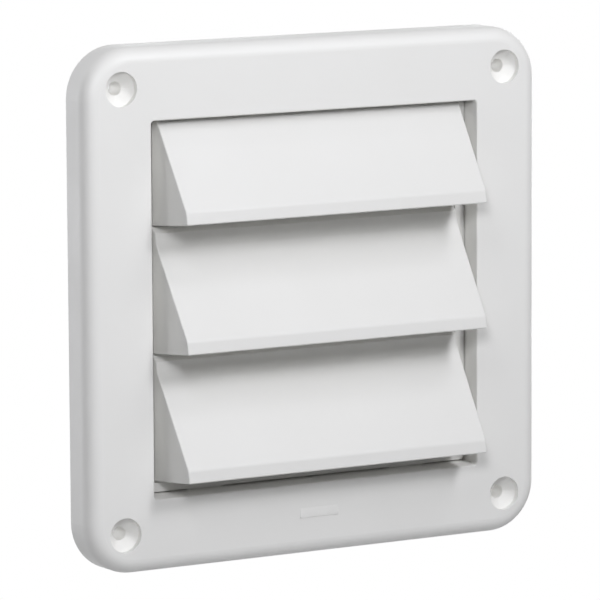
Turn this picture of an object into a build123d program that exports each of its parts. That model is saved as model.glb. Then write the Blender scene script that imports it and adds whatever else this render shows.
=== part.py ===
from build123d import *
from math import atan, cos, radians, tan
import os

os.makedirs("parts", exist_ok=True)

# Driving dimensions in millimetres.
# X runs across the vent, +Z up. The wall plane is y = 0 and the front faces -Y.
# A depth is measured from the front face towards the wall.

# Wall flange
FLANGE_SIZE = 156.4       # width and height where it meets the wall
FLANGE_DEPTH = 11.6       # front face to wall
FLANGE_CORNER = 15.5      # corner radius seen from the front
FLANGE_DRAFT = 1.0        # taper of the outer wall, degrees
EDGE_ROUND = 4.5          # rounding between the front face and the outer wall
SKIN = 2.4                # thickness of the front face
WALL = 2.0                # thickness of the outer wall
RIB = 1.5                 # thickness of the stiffening ribs
RIB_SETBACK = 0.8         # ribs stop this far short of the wall plane
RIB_SPACING = 38.0        # between neighbouring ribs of one side

# Screw holes
HOLE_EDGE = 12.2          # hole centres in from the flange's edge
MOUTH_DIA = 10.4          # recess for the screw head
MOUTH_DEPTH = 1.9         # straight part of that recess
SINK_DEPTH = 2.4          # cone below it
SHANK_DIA = 4.2           # hole for the screw shank
BOSS_DIA = 14.0           # boss behind each hole

# Recess for the louver frame
RIM_WIDTH = 22.0          # flange between its edge and the square opening
OPENING_CORNER = 1.2      # corner radius of the opening
OPENING_ROUND = 0.5       # rounding of the opening's front edge
RECESS_WALL = 1.8         # walls round the recess
SILL_RISE = 0.4           # the sill climbs this much from its front edge to the frame
HEAD_LAND = 1.2           # front edge of the opening's head, left after the bevel behind it
BACK_PLATE = 1.4          # plate behind the louvers
LIFT = 1.4                # room to lift the louver frame off its noses

# Duct collar
COLLAR_DIA = 100.0        # slides into a 4 inch duct
COLLAR_WALL = 1.8
COLLAR_LENGTH = 38.0      # behind the wall plane
COLLAR_CHAMFER = 0.8

# Louver frame
FRAME_SETBACK = 7.0       # depth of the frame's front
FRAME_SIDE_GAP = 0.45     # between frame and recess walls
FRAME_FOOT_GAP = 0.85     # frame's lower edge above the opening's lower edge
RAIL_WIDTH = 3.15         # side rails
FOOT_RAIL = 2.75          # bottom rail
HEAD_RAIL = 2.8           # top rail, behind the front face
HEAD_OFFSET = 1.8         # top rail's lower edge above the opening's upper edge
BAR_HEIGHT = 2.2          # cross bars between louvers
FRAME_CORNER = 1.5        # outer corners
NOSE_WIDTH = 8.0          # noses on the sill that hold the frame
NOSE_DEPTH = 1.0
NOSE_HEIGHT = 0.8
NOSE_SPACING = 70.0
NOSE_PLAY = 0.2
PAD_MARGIN = 2.0          # pad to each side of a nose, carrying the frame
PAD_LEAD = 0.5            # pad in front of a nose

# Louvers
LOUVERS = 3
HEADROOM = 1.6            # top louver's face edge below the opening's upper edge
TOP_RISE = 1.2            # the top louver's face runs on this far above that edge
FACE_SETBACK = 3.5        # depth of the face's upper edge
FACE_REACH = 15.9         # how far the sloping face comes forward
LIP_DROP = 3.75           # height of the front lip
LIP_REACH = 0.7           # how far the lip still comes forward
FLOOR_FALL = 2.15         # the underside falls this much from lip to back
LOUVER_WALL = 1.6
LOUVER_SIDE_GAP = 0.3     # between louver and side rail
SIDE_DRAFT = 2.0          # taper of the side wings, degrees
BEND_ROUND = 2.5          # between face and lip
LOUVER_EDGE = 0.4         # rounding of the louver's outer edges
KNEE_RISE = 3.22          # lower louvers' faces run on this far above their edge, to an upright flange
UPSTAND_HEIGHT = 6.5      # hinge above the face edge on the lower louvers
CROWN_FALL = 1.45         # the upright flange's top falls this much towards the front
CROWN_LAND = 0.18         # flat left between that top and the hollow curve below it
TOP_HINGE_DROP = 1.5      # hinge below the face edge on the top louver
BARREL_DIA = 2.9
PIN_DIA = 1.8
PIN_PLAY = 0.08           # radial
PIN_REACH = 2.2           # into the side rail
BACK_INSET = 1.1          # louver's back edge in front of its hinge axis
SEAT_GAP = 0.4            # between a closed louver and what it closes on

# Cutters run past the faces that they open by this much
CUT_OVER = 1.0

# Worked out from the dimensions above
opening = FLANGE_SIZE - 2 * RIM_WIDTH
half_opening = opening / 2
hole_spacing = FLANGE_SIZE - 2 * HOLE_EDGE
frame_back = FLANGE_DEPTH - BACK_PLATE
rail_depth = frame_back - FRAME_SETBACK
frame_half = half_opening - FRAME_SIDE_GAP
frame_foot = FRAME_FOOT_GAP - half_opening
frame_head = half_opening + HEAD_OFFSET + HEAD_RAIL
pocket_head = frame_head + LIFT
hinge_depth = FRAME_SETBACK + rail_depth / 2
louver_back = hinge_depth - BACK_INSET
louver_half = frame_half - RAIL_WIDTH - LOUVER_SIDE_GAP
hinge_rise = UPSTAND_HEIGHT + BARREL_DIA / 2
stack_height = opening - HEADROOM - SEAT_GAP - FOOT_RAIL - FRAME_FOOT_GAP
louver_pitch = (stack_height + hinge_rise) / LOUVERS
floor_drop = louver_pitch - hinge_rise
face_drop = floor_drop - LIP_DROP - FLOOR_FALL
face_edges = [half_opening - HEADROOM - louver_pitch * i for i in range(LOUVERS)]
upstand_setback = FACE_SETBACK + KNEE_RISE * FACE_REACH / face_drop
bar_front = louver_back + SEAT_GAP


def slab(outline, front, back):
    """An outline in X and Z, run from one depth to another."""
    return extrude(Plane.XZ.offset(FLANGE_DEPTH - back) * outline, amount=back - front)


def block(left, right, front, back, low, high):
    """A box between two X places, two depths and two heights."""
    outline = Pos((left + right) / 2, (low + high) / 2) * Rectangle(right - left, high - low)
    return slab(outline, front, back)


def profile(points):
    """A side view outline given as (depth, height) points."""
    return make_face(Polyline([(d - FLANGE_DEPTH, h) for d, h in points], close=True))


def across(outline, half_width):
    """A side view outline run across the vent, equally to both sides."""
    return extrude(Plane.YZ * outline, amount=half_width, both=True)


def rod(dia, depth, height, start, end):
    """A round bar along X."""
    section = Plane.YZ.offset(start) * Pos(depth - FLANGE_DEPTH, height) * Circle(dia / 2)
    return extrude(section, amount=end - start)


def corner(outline, depth, height):
    return outline.vertices().sort_by_distance((depth - FLANGE_DEPTH, height))[0]


def screw_hole():
    """Cutter for one screw hole: head recess, cone and shank hole, on the origin."""
    mouth = MOUTH_DIA / 2
    shank = SHANK_DIA / 2
    sink_end = MOUTH_DEPTH + SINK_DEPTH
    end = FLANGE_DEPTH + CUT_OVER
    outline = [(0, -CUT_OVER), (mouth, -CUT_OVER), (mouth, MOUTH_DEPTH),
               (shank, sink_end), (shank, end), (0, end)]
    section = make_face(Polyline([(r, d - FLANGE_DEPTH) for r, d in outline], close=True))
    return revolve(section, Axis.Y)


def flange_shell():
    """The flange's outer form and the hollow behind its front face."""
    plan = RectangleRounded(FLANGE_SIZE, FLANGE_SIZE, FLANGE_CORNER)
    inner = FLANGE_SIZE - 2 * WALL
    inner_plan = RectangleRounded(inner, inner, FLANGE_CORNER - WALL)
    outer = extrude(Plane.XZ * plan, amount=FLANGE_DEPTH, taper=FLANGE_DRAFT)
    outer = fillet(outer.faces().sort_by(Axis.Y)[0].edges(), EDGE_ROUND)
    hollow = extrude(Plane.XZ * inner_plan, amount=FLANGE_DEPTH - SKIN, taper=FLANGE_DRAFT)
    return outer, hollow


def sill():
    """Sloping floor of the recess."""
    low = -half_opening
    points = [(OPENING_ROUND, low), (FRAME_SETBACK, low + SILL_RISE), (frame_back, low + SILL_RISE),
              (frame_back, low - RECESS_WALL / 2), (SKIN / 2, low - RECESS_WALL / 2)]
    return across(profile(points), half_opening + RECESS_WALL / 2)


def noses():
    """Pads that carry the louver frame, each with a nose that keeps it from sliding forward."""
    made = []
    pad_half = NOSE_WIDTH / 2 + PAD_MARGIN
    nose_front = hinge_depth - NOSE_DEPTH / 2
    for x in (-NOSE_SPACING / 2, NOSE_SPACING / 2):
        made.append(block(x - pad_half, x + pad_half, nose_front - PAD_LEAD, frame_back,
                          -half_opening, frame_foot))
        made.append(block(x - NOSE_WIDTH / 2, x + NOSE_WIDTH / 2, nose_front, nose_front + NOSE_DEPTH,
                          -half_opening, frame_foot + NOSE_HEIGHT))
    return made


def vent_body():
    """Flange, recess, back plate and duct collar in one moulding."""
    outer, hollow = flange_shell()
    walled = half_opening + RECESS_WALL
    recess = block(-walled, walled, 0, FLANGE_DEPTH, -walled, pocket_head + RECESS_WALL)
    ribs = Part()
    for i in (-1, 0, 1):
        at = RIB_SPACING * i
        reach = FLANGE_SIZE / 2
        ribs += block(at - RIB / 2, at + RIB / 2, 0, FLANGE_DEPTH - RIB_SETBACK, -reach, reach)
        ribs += block(-reach, reach, 0, FLANGE_DEPTH - RIB_SETBACK, at - RIB / 2, at + RIB / 2)
    holes = GridLocations(hole_spacing, hole_spacing, 2, 2)
    bosses = slab(Sketch() + [at * Circle(BOSS_DIA / 2) for at in holes], 0, FLANGE_DEPTH)
    window = RectangleRounded(opening, opening, OPENING_CORNER)
    body = outer - hollow - slab(window, -CUT_OVER, SKIN + CUT_OVER)
    rim = body.faces().sort_by(Axis.Y)[0].inner_wires()[0]
    body = fillet(rim.edges(), OPENING_ROUND)
    body += ((ribs + bosses) & hollow) + (recess & hollow)
    body -= block(-half_opening, half_opening, SKIN, frame_back, -half_opening, pocket_head)
    under_head = half_opening - CUT_OVER
    bevel = [(HEAD_LAND, under_head), (HEAD_LAND, half_opening),
             (SKIN, pocket_head), (SKIN + CUT_OVER, under_head)]
    body -= across(profile(bevel), half_opening)
    body += [sill()] + noses()
    body -= slab(Circle(COLLAR_DIA / 2 - COLLAR_WALL), frame_back - CUT_OVER, FLANGE_DEPTH + CUT_OVER)
    ring = Circle(COLLAR_DIA / 2) - Circle(COLLAR_DIA / 2 - COLLAR_WALL)
    collar = slab(ring, frame_back, FLANGE_DEPTH + COLLAR_LENGTH)
    end_edges = collar.edges().group_by(Axis.Y)[-1]
    body += chamfer(end_edges.sort_by(SortBy.RADIUS)[-1], COLLAR_CHAMFER)
    return body - [Pos(at.position.X, 0, at.position.Y) * screw_hole() for at in holes]


def hinge_height(index):
    if index == 0:
        return face_edges[0] - TOP_HINGE_DROP
    return face_edges[index] + UPSTAND_HEIGHT


def louver_frame():
    """Snap-in frame that carries the three louvers between its side rails."""
    height = frame_head - frame_foot
    outline = Pos(0, (frame_head + frame_foot) / 2) * RectangleRounded(2 * frame_half, height, FRAME_CORNER)
    frame = slab(outline, FRAME_SETBACK, frame_back)
    inside = frame_half - RAIL_WIDTH
    frame -= block(-inside, inside, FRAME_SETBACK - CUT_OVER, frame_back + CUT_OVER,
                   frame_foot + FOOT_RAIL, frame_head - HEAD_RAIL)
    for edge in face_edges[:-1]:
        low = edge - floor_drop + LOUVER_WALL / 2
        frame += block(-inside, inside, bar_front, frame_back, low, low + BAR_HEIGHT)
    for i in range(LOUVERS):
        frame -= rod(PIN_DIA + 2 * PIN_PLAY, hinge_depth, hinge_height(i), -frame_half, frame_half)
    notch_front = hinge_depth - NOSE_DEPTH / 2 - NOSE_PLAY
    for x in (-NOSE_SPACING / 2, NOSE_SPACING / 2):
        side = NOSE_WIDTH / 2 + NOSE_PLAY
        frame -= block(x - side, x + side, notch_front, notch_front + NOSE_DEPTH + 2 * NOSE_PLAY,
                       frame_foot - CUT_OVER, frame_foot + NOSE_HEIGHT + NOSE_PLAY)
    return frame


def lip_edge(index):
    """Lower front corner of a louver in side view."""
    return FACE_SETBACK - FACE_REACH - LIP_REACH, face_edges[index] - face_drop - LIP_DROP


def crown_edge(index):
    """Upper front corner of a louver in side view."""
    if index == 0:
        return FACE_SETBACK + TOP_RISE * FACE_REACH / face_drop, face_edges[0] + TOP_RISE
    return upstand_setback, hinge_height(index) - CROWN_FALL / 2


def tray_outline(index, back):
    """Side view of a louver's outside, closed by a straight back."""
    edge = face_edges[index]
    bend = (FACE_SETBACK - FACE_REACH, edge - face_drop)
    lip = lip_edge(index)
    crown = crown_edge(index)
    fall = FLOOR_FALL / (louver_back - lip[0])
    floor_back = (back, lip[1] - fall * (back - lip[0]))
    if index == 0:
        outline = profile([(back, crown[1]), crown, bend, lip, floor_back])
    else:
        knee = (upstand_setback, edge + KNEE_RISE)
        cove_run = crown[1] - knee[1] - CROWN_LAND
        cove_radius = cove_run / tan(atan(FACE_REACH / face_drop) / 2)
        outline = profile([(back, crown[1] + CROWN_FALL), crown, knee, bend, lip, floor_back])
        outline = fillet(corner(outline, *knee), cove_radius)
    return fillet(corner(outline, *bend), BEND_ROUND)


def wing_prism(inset):
    """Space between the two side wings' outer faces, less an inset, as a tall prism."""
    front = FACE_SETBACK - FACE_REACH - 2 * LIP_REACH
    back = louver_back + 2 * LOUVER_WALL
    rate = tan(radians(SIDE_DRAFT))
    at_front = louver_half - inset - rate * (louver_back - front)
    at_back = louver_half - inset + rate * (back - louver_back)
    plan = [(-at_back, back), (at_back, back), (at_front, front), (-at_front, front)]
    outline = make_face(Polyline([(x, d - FLANGE_DEPTH) for x, d in plan], close=True))
    return extrude(outline, amount=FLANGE_SIZE, both=True)


def outer_edges(tray, index):
    """The edges of the side wings, the crown and the lip that a hand meets."""
    wings = tray.faces().filter_by(lambda face: abs(face.normal_at().X) > cos(radians(2 * SIDE_DRAFT)))
    back = louver_back - FLANGE_DEPTH - LOUVER_EDGE
    picked = [edge for edge in wings.edges() if edge.center().Y < back]
    for depth, height in (lip_edge(index), crown_edge(index)):
        picked.append(tray.edges().filter_by(Axis.X).sort_by_distance((0, depth - FLANGE_DEPTH, height))[0])
    return picked


def louver(index):
    """One louver: a tray open at the back, with its hinge barrel and two pins."""
    wide = frame_half
    tray = across(tray_outline(index, louver_back), wide) & wing_prism(0)
    tray = fillet(outer_edges(tray, index), LOUVER_EDGE)
    back = louver_back + 2 * LOUVER_WALL
    core = offset(tray_outline(index, back), -LOUVER_WALL, kind=Kind.INTERSECTION)
    tray -= across(core, wide) & wing_prism(LOUVER_WALL)
    height = hinge_height(index)
    tray += rod(BARREL_DIA, hinge_depth, height, -louver_half, louver_half)
    pin_end = louver_half + LOUVER_SIDE_GAP + PIN_REACH
    return tray + rod(PIN_DIA, hinge_depth, height, -pin_end, pin_end)


nodes = {
    "vent_body": vent_body(),
    "louver_frame": louver_frame(),
    "top_louver": louver(0),
    "middle_louver": louver(1),
    "bottom_louver": louver(2),
}
for name, solid in nodes.items():
    solid.label = name
    export_step(solid, f"parts/{name}.step")
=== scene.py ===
from math import cos, pi, radians, sin
import bpy
from mathutils import Matrix, Vector


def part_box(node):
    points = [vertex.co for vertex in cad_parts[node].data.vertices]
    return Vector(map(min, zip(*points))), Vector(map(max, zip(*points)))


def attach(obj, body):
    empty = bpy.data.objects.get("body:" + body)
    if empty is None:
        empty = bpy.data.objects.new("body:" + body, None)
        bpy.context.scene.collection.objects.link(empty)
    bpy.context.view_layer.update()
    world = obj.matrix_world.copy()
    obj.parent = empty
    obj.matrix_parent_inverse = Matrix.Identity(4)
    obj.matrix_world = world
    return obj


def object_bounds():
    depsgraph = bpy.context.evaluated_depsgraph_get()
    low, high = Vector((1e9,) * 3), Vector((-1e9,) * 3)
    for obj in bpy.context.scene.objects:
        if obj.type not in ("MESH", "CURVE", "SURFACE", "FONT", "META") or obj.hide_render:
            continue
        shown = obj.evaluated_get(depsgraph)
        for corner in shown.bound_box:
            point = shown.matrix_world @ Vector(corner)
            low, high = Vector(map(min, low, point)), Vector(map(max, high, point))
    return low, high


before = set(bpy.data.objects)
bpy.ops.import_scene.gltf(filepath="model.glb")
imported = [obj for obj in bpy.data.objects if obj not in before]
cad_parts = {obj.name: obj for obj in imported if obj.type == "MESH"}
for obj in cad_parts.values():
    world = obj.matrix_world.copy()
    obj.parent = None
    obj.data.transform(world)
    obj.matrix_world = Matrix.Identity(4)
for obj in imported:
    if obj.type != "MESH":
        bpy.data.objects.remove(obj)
cad_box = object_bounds()

MM = 0.001

# Camera, in degrees, metres and millimetres of lens
VIEW_AZIMUTH = -30.03       # from the left of straight ahead
VIEW_ELEVATION = 8.12
VIEW_ROLL = -0.30
VIEW_DISTANCE = 1.4503      # from the middle of the front face
VIEW_ASIDE = -5.46 * MM     # camera moved to its own right
VIEW_RISE = -0.81 * MM      # camera moved to its own top
VIEW_LENS = 290.4
VIEW_SENSOR = 36.0

# Studio
FLOOR_DROP = 0.30           # floor below the flange's lower edge
FLOOR_REACH = 12.0          # side of the floor
FLOOR_TINT = (0.80, 0.80, 0.80)
SHADOW_SHARE = 0.5          # how much of the lit floor shows beside its plain white
SHADOW_START = 0.35         # shadow fades out between these two distances from the vent
SHADOW_END = 1.1
AMBIENT = 0.04
LAMP_TINT = (1.0, 1.006, 1.045)
# name, azimuth, elevation, distance, side, brightness
LAMPS = [
    ("left_key", -30, 22, 0.66, 0.12, 31.6),
    ("right_key", 20, 32, 0.66, 0.12, 27.8),
    ("right_high", 20, 42, 0.80, 0.14, 9.6),
    ("left_high", -45, 42, 0.80, 0.14, 7.8),
    ("far_right_high", 40, 54, 0.80, 0.14, 8.2),
    ("low_fill", -15, -18, 0.80, 0.25, 0.30),
    ("top_softbox", 0, 78, 0.80, 0.40, 0.70),
    ("left_softbox", -140, 2, 0.80, 0.40, 2.6),
    ("rear_softbox", -150, 30, 0.80, 0.40, 1.7),
    ("rear_fill", 165, 1, 0.80, 0.40, 2.2),
    ("right_softbox", 130, 4, 0.80, 0.40, 2.6),
]

# White moulded plastic
BODY_WHITE = (0.880, 0.875, 0.846)
BODY_SHADE = (0.852, 0.847, 0.814)
# The louvers are the same white plastic as the body. Their white and their cloud colour are darker as
# painted shade, which holds down their upturned faces that catch more light.
LOUVER_WHITE_PAINTED_SHADE = (0.816, 0.811, 0.784)
LOUVER_CLOUD_PAINTED_SHADE = (0.789, 0.784, 0.754)
SPECK_GREY = (0.55, 0.55, 0.52)
PLASTIC_IOR = 1.49
BODY_ROUGHNESS = (0.40, 0.50)       # smoothest and dullest places
LOUVER_ROUGHNESS = (0.42, 0.52)
BODY_GRAIN = 2600.0                 # cells to the metre, as are the scales below
LOUVER_GRAIN = 3000.0
GRAIN_DEPTH = 0.04 * MM
GRAIN_STRENGTH = 0.25
GRAIN_DETAIL = 3.0                  # finer layers of noise
GRAIN_CRISPNESS = 0.6               # weight of each finer layer
WAVE_SCALE = 45.0                   # slow waviness under the grain
WAVE_DETAIL = 2.0
WAVE_HEIGHT = 1.6                   # times the grain's
DULL_BY_WAVE = 0.6                  # share of the waviness in the dull places, the rest is the grain's
DULL_RANGE = (0.3, 0.7)             # noise in the smoothest and the dullest places
DRIFT_SCALE = 28.0                  # clouds of slightly darker resin
DRIFT_DETAIL = 4.0
DRIFT_CRISPNESS = 0.55
DRIFT_RANGE = (0.35, 0.75)          # noise where a cloud begins and where it is full
DRIFT_SHARE = 0.35                  # darker resin in a full cloud
FLOW_STRETCH = 0.45                 # draws the clouds out up and down
SPECK_SCALE = 70.0
SPECK_SIZE = (0.012, 0.03)          # radius of a speck's core and of its rim, in cells
SPECK_SHARE = 0.5                   # grey in the core
SPECK_PATCHES = 21.0                # specks lie only in some of these
PATCH_RANGE = (0.58, 0.66)          # noise where such a patch begins and where it is full
BODY_TURN = (0.0, 0.0, 0.0)         # turns of the pattern, so that no piece runs on from another
LOUVER_TURN = (0.3, 0.2, 0.5)

# Raised thumb bar on the flange's lower rail
BAR_LENGTH = 13.2 * MM
BAR_HEIGHT = 3.0 * MM
BAR_RISE = 0.25 * MM        # lower edge stands proud of the front face
BAR_ROOT = 0.3 * MM         # sunk into it
BAR_DROP = 65.1 * MM        # below the flange's middle
BAR_ROUND = 0.08 * MM
BAR_SEGMENTS = 3            # faces in that rounding
SMOOTH_ANGLE = 30.0         # edges under this many degrees are shaded smooth


def direction(azimuth, elevation):
    """Unit vector from the vent towards a place round it."""
    a = radians(azimuth)
    e = radians(elevation)
    return Vector((sin(a) * cos(e), -cos(a) * cos(e), sin(e)))


def front_centre():
    """Middle of the flange's front face."""
    low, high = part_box("vent_body")
    return Vector(((low.x + high.x) / 2, low.y, (low.z + high.z) / 2))


# Shader helpers

def new_group(name, inputs, outputs):
    """An empty shader group with named sockets, as (tree, input node, output node)."""
    tree = bpy.data.node_groups.new(name, "ShaderNodeTree")
    for label, kind in inputs:
        tree.interface.new_socket(name=label, in_out="INPUT", socket_type=kind)
    for label, kind in outputs:
        tree.interface.new_socket(name=label, in_out="OUTPUT", socket_type=kind)
    return tree, tree.nodes.new("NodeGroupInput"), tree.nodes.new("NodeGroupOutput")


def noise(tree, vector, scale, detail, roughness=0.5):
    node = tree.nodes.new("ShaderNodeTexNoise")
    node.inputs["Detail"].default_value = detail
    node.inputs["Roughness"].default_value = roughness
    tree.links.new(vector, node.inputs["Vector"])
    if isinstance(scale, float):
        node.inputs["Scale"].default_value = scale
    else:
        tree.links.new(scale, node.inputs["Scale"])
    return node.outputs["Fac"]


def spread(tree, value, low, high, to_low, to_high):
    """Maps a value from one range to another, eased at both ends."""
    node = tree.nodes.new("ShaderNodeMapRange")
    node.interpolation_type = "SMOOTHSTEP"
    for label, number in (("From Min", low), ("From Max", high), ("To Min", to_low), ("To Max", to_high)):
        if isinstance(number, (int, float)):
            node.inputs[label].default_value = number
        else:
            tree.links.new(number, node.inputs[label])
    tree.links.new(value, node.inputs["Value"])
    return node.outputs["Result"]


def blend(tree, share, first, second):
    """Mixes two colours by a share."""
    node = tree.nodes.new("ShaderNodeMix")
    node.data_type = "RGBA"
    tree.links.new(share, node.inputs["Factor"])
    tree.links.new(first, node.inputs["A"])
    tree.links.new(second, node.inputs["B"])
    return node.outputs["Result"]


def sums(tree, how, first, second):
    node = tree.nodes.new("ShaderNodeMath")
    node.operation = how
    for socket, value in zip(node.inputs, (first, second)):
        if isinstance(value, (int, float)):
            socket.default_value = value
        else:
            tree.links.new(value, socket)
    return node.outputs["Value"]


def moulded_grain():
    """Fine spark-eroded grain over a slow waviness, with the roughness that goes with it."""
    tree, given, result = new_group(
        "moulded_grain",
        [("Vector", "NodeSocketVector"), ("Grain Scale", "NodeSocketFloat"),
         ("Low Roughness", "NodeSocketFloat"), ("High Roughness", "NodeSocketFloat")],
        [("Height", "NodeSocketFloat"), ("Roughness", "NodeSocketFloat")])
    fine = noise(tree, given.outputs["Vector"], given.outputs["Grain Scale"], GRAIN_DETAIL, GRAIN_CRISPNESS)
    slow = noise(tree, given.outputs["Vector"], WAVE_SCALE, WAVE_DETAIL)
    height = sums(tree, "ADD", fine, sums(tree, "MULTIPLY", slow, WAVE_HEIGHT))
    tree.links.new(height, result.inputs["Height"])
    by_grain = sums(tree, "MULTIPLY", fine, 1.0 - DULL_BY_WAVE)
    dull = sums(tree, "ADD", by_grain, sums(tree, "MULTIPLY", slow, DULL_BY_WAVE))
    rough = spread(tree, dull, *DULL_RANGE, given.outputs["Low Roughness"], given.outputs["High Roughness"])
    tree.links.new(rough, result.inputs["Roughness"])
    return tree


def resin_flow():
    """Slow drift of the resin's colour, drawn out along the flow, with a few fine specks."""
    tree, given, result = new_group(
        "resin_flow",
        [("Vector", "NodeSocketVector"), ("White", "NodeSocketColor"),
         ("Shade", "NodeSocketColor"), ("Speck", "NodeSocketColor")],
        [("Color", "NodeSocketColor")])
    stretch = tree.nodes.new("ShaderNodeMapping")
    stretch.inputs["Scale"].default_value = (1.0, 1.0, FLOW_STRETCH)
    tree.links.new(given.outputs["Vector"], stretch.inputs["Vector"])
    drift = noise(tree, stretch.outputs["Vector"], DRIFT_SCALE, DRIFT_DETAIL, DRIFT_CRISPNESS)
    cloud = spread(tree, drift, *DRIFT_RANGE, 0.0, DRIFT_SHARE)
    resin = blend(tree, cloud, given.outputs["White"], given.outputs["Shade"])
    cells = tree.nodes.new("ShaderNodeTexVoronoi")
    cells.inputs["Scale"].default_value = SPECK_SCALE
    tree.links.new(given.outputs["Vector"], cells.inputs["Vector"])
    dots = spread(tree, cells.outputs["Distance"], *SPECK_SIZE, SPECK_SHARE, 0.0)
    patches = noise(tree, given.outputs["Vector"], SPECK_PATCHES, 0.0)
    sparse = spread(tree, patches, *PATCH_RANGE, 0.0, 1.0)
    specked = blend(tree, sums(tree, "MULTIPLY", dots, sparse), resin, given.outputs["Speck"])
    tree.links.new(specked, result.inputs["Color"])
    return tree


def plastic(name, white, shade, grain_scale, roughness, turn):
    """Satin white moulded plastic."""
    material = bpy.data.materials.new(name)
    material.use_nodes = True
    tree = material.node_tree
    shader = tree.nodes["Principled BSDF"]
    place = tree.nodes.new("ShaderNodeTexCoord")
    turned = tree.nodes.new("ShaderNodeMapping")
    turned.inputs["Rotation"].default_value = turn
    tree.links.new(place.outputs["Object"], turned.inputs["Vector"])
    grain = tree.nodes.new("ShaderNodeGroup")
    grain.node_tree = bpy.data.node_groups["moulded_grain"]
    grain.inputs["Grain Scale"].default_value = grain_scale
    for label, value in zip(("Low Roughness", "High Roughness"), roughness):
        grain.inputs[label].default_value = value
    flow = tree.nodes.new("ShaderNodeGroup")
    flow.node_tree = bpy.data.node_groups["resin_flow"]
    for label, colour in (("White", white), ("Shade", shade), ("Speck", SPECK_GREY)):
        flow.inputs[label].default_value = (*colour, 1.0)
    for group in (grain, flow):
        tree.links.new(turned.outputs["Vector"], group.inputs["Vector"])
    bump = tree.nodes.new("ShaderNodeBump")
    bump.inputs["Strength"].default_value = GRAIN_STRENGTH
    bump.inputs["Distance"].default_value = GRAIN_DEPTH
    tree.links.new(grain.outputs["Height"], bump.inputs["Height"])
    tree.links.new(bump.outputs["Normal"], shader.inputs["Normal"])
    tree.links.new(flow.outputs["Color"], shader.inputs["Base Color"])
    tree.links.new(grain.outputs["Roughness"], shader.inputs["Roughness"])
    shader.inputs["IOR"].default_value = PLASTIC_IOR
    return material


def dress(piece, material):
    piece.data.materials.clear()
    piece.data.materials.append(material)


# New piece

def thumb_bar(material):
    """Short bar moulded on the lower rail, rising from the face to a ledge along its lower edge."""
    bpy.ops.object.select_all(action="DESELECT")
    face = front_centre()
    depth = BAR_RISE + BAR_ROOT
    middle = Vector((0, face.y - BAR_RISE + depth / 2, face.z - BAR_DROP))
    bpy.ops.mesh.primitive_cube_add(size=1, location=middle)
    bar = bpy.context.object
    bar.name = "thumb_bar"
    bar.scale = (BAR_LENGTH, depth, BAR_HEIGHT)
    bpy.ops.object.transform_apply(location=True, rotation=True, scale=True)
    bpy.ops.object.mode_set(mode="EDIT")
    bpy.ops.mesh.select_mode(type="VERT")
    bpy.ops.mesh.select_all(action="DESELECT")
    bpy.ops.object.mode_set(mode="OBJECT")
    for corner in bar.data.vertices:
        corner.select = corner.co.y < middle.y and corner.co.z > middle.z
    bpy.ops.object.mode_set(mode="EDIT")
    bpy.ops.transform.translate(value=(0, BAR_RISE, 0))
    bpy.ops.mesh.select_all(action="SELECT")
    bpy.ops.mesh.bevel(offset=BAR_ROUND, segments=BAR_SEGMENTS, affect="EDGES")
    bpy.ops.object.mode_set(mode="OBJECT")
    bpy.ops.object.shade_smooth_by_angle(angle=radians(SMOOTH_ANGLE))
    dress(bar, material)
    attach(bar, "vent")


# Studio

def seen_share(tree):
    """1 for rays that show the background itself, else 0."""
    path = tree.nodes.new("ShaderNodeLightPath")
    direct = sums(tree, "MAXIMUM", path.outputs["Is Camera Ray"], path.outputs["Is Glossy Ray"])
    return sums(tree, "MAXIMUM", direct, path.outputs["Is Transmission Ray"])


def mixed(tree, share, first, second):
    node = tree.nodes.new("ShaderNodeMixShader")
    tree.links.new(share, node.inputs["Fac"])
    tree.links.new(first, node.inputs[1])
    tree.links.new(second, node.inputs[2])
    return node.outputs["Shader"]


def floor():
    """Pale floor: plain white far off, with the vent's shadow near it."""
    low = cad_box[0]
    bpy.ops.object.select_all(action="DESELECT")
    bpy.ops.mesh.primitive_plane_add(size=FLOOR_REACH, location=(0, 0, low.z - FLOOR_DROP))
    plane = bpy.context.object
    plane.name = "floor"
    material = bpy.data.materials.new("pale_floor")
    material.use_nodes = True
    tree = material.node_tree
    tree.nodes.remove(tree.nodes["Principled BSDF"])
    lit = tree.nodes.new("ShaderNodeBsdfDiffuse")
    lit.inputs["Color"].default_value = (*FLOOR_TINT, 1.0)
    white = tree.nodes.new("ShaderNodeEmission")
    place = tree.nodes.new("ShaderNodeTexCoord")
    length = tree.nodes.new("ShaderNodeVectorMath")
    length.operation = "LENGTH"
    tree.links.new(place.outputs["Object"], length.inputs[0])
    plain = spread(tree, length.outputs["Value"], SHADOW_START, SHADOW_END, 1.0 - SHADOW_SHARE, 1.0)
    share = sums(tree, "MULTIPLY", plain, seen_share(tree))
    surface = mixed(tree, share, lit.outputs["BSDF"], white.outputs["Emission"])
    tree.links.new(surface, tree.nodes["Material Output"].inputs["Surface"])
    dress(plane, material)


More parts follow.
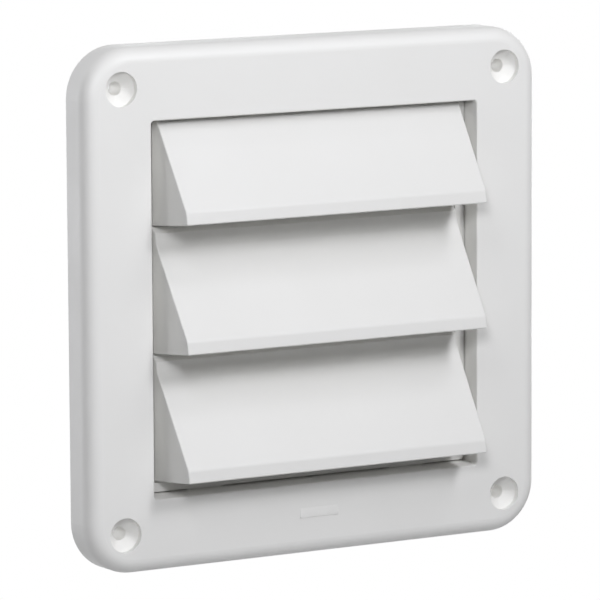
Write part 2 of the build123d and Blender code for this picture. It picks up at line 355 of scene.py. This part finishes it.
def surroundings():
    """White all round as a backdrop, with a softer light of its own on the vent."""
    world = bpy.data.worlds.new("white_room")
    bpy.context.scene.world = world
    world.use_nodes = True
    tree = world.node_tree
    soft = tree.nodes["Background"]
    soft.inputs["Color"].default_value = (*LAMP_TINT, 1.0)
    soft.inputs["Strength"].default_value = AMBIENT
    plain = tree.nodes.new("ShaderNodeBackground")
    plain.inputs["Color"].default_value = (1.0, 1.0, 1.0, 1.0)
    plain.inputs["Strength"].default_value = 1.0
    surface = mixed(tree, seen_share(tree), soft.outputs["Background"], plain.outputs["Background"])
    tree.links.new(surface, tree.nodes["World Output"].inputs["Surface"])


def lamp(name, azimuth, elevation, distance, side, brightness):
    """Square softbox that faces the vent."""
    light = bpy.data.lights.new(name, "AREA")
    light.shape = "SQUARE"
    light.size = side
    light.color = LAMP_TINT
    light.energy = brightness * pi * side ** 2
    holder = bpy.data.objects.new(name, light)
    bpy.context.scene.collection.objects.link(holder)
    away = direction(azimuth, elevation)
    holder.location = front_centre() + away * distance
    holder.rotation_mode = "QUATERNION"
    holder.rotation_quaternion = away.to_track_quat("Z", "Y")


def camera():
    """Camera at the photographed view, with its roll."""
    back = direction(VIEW_AZIMUTH, VIEW_ELEVATION)
    level = Vector((cos(radians(VIEW_AZIMUTH)), sin(radians(VIEW_AZIMUTH)), 0))
    upright = back.cross(level)
    turn = radians(VIEW_ROLL)
    right = level * cos(turn) + upright * sin(turn)
    up = upright * cos(turn) - level * sin(turn)
    lens = bpy.data.cameras.new("camera")
    lens.lens = VIEW_LENS
    lens.sensor_width = VIEW_SENSOR
    eye = bpy.data.objects.new("camera", lens)
    bpy.context.scene.collection.objects.link(eye)
    spot = front_centre() + back * VIEW_DISTANCE + right * VIEW_ASIDE + up * VIEW_RISE
    axes = Matrix((right, up, back)).transposed()
    eye.matrix_world = Matrix.Translation(spot) @ axes.to_4x4()
    bpy.context.scene.camera = eye


moulded_grain()
resin_flow()
body_plastic = plastic("body_plastic", BODY_WHITE, BODY_SHADE, BODY_GRAIN, BODY_ROUGHNESS, BODY_TURN)
# Louvers get the darker white: painted shade on the same plastic as the body.
louver_plastic = plastic(
    "louver_plastic", LOUVER_WHITE_PAINTED_SHADE, LOUVER_CLOUD_PAINTED_SHADE, LOUVER_GRAIN, LOUVER_ROUGHNESS, LOUVER_TURN)
for node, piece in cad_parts.items():
    dress(piece, body_plastic if node == "vent_body" else louver_plastic)
thumb_bar(body_plastic)

floor()
surroundings()
for setting in LAMPS:
    lamp(*setting)
camera()
bpy.context.scene.view_settings.view_transform = "Standard"
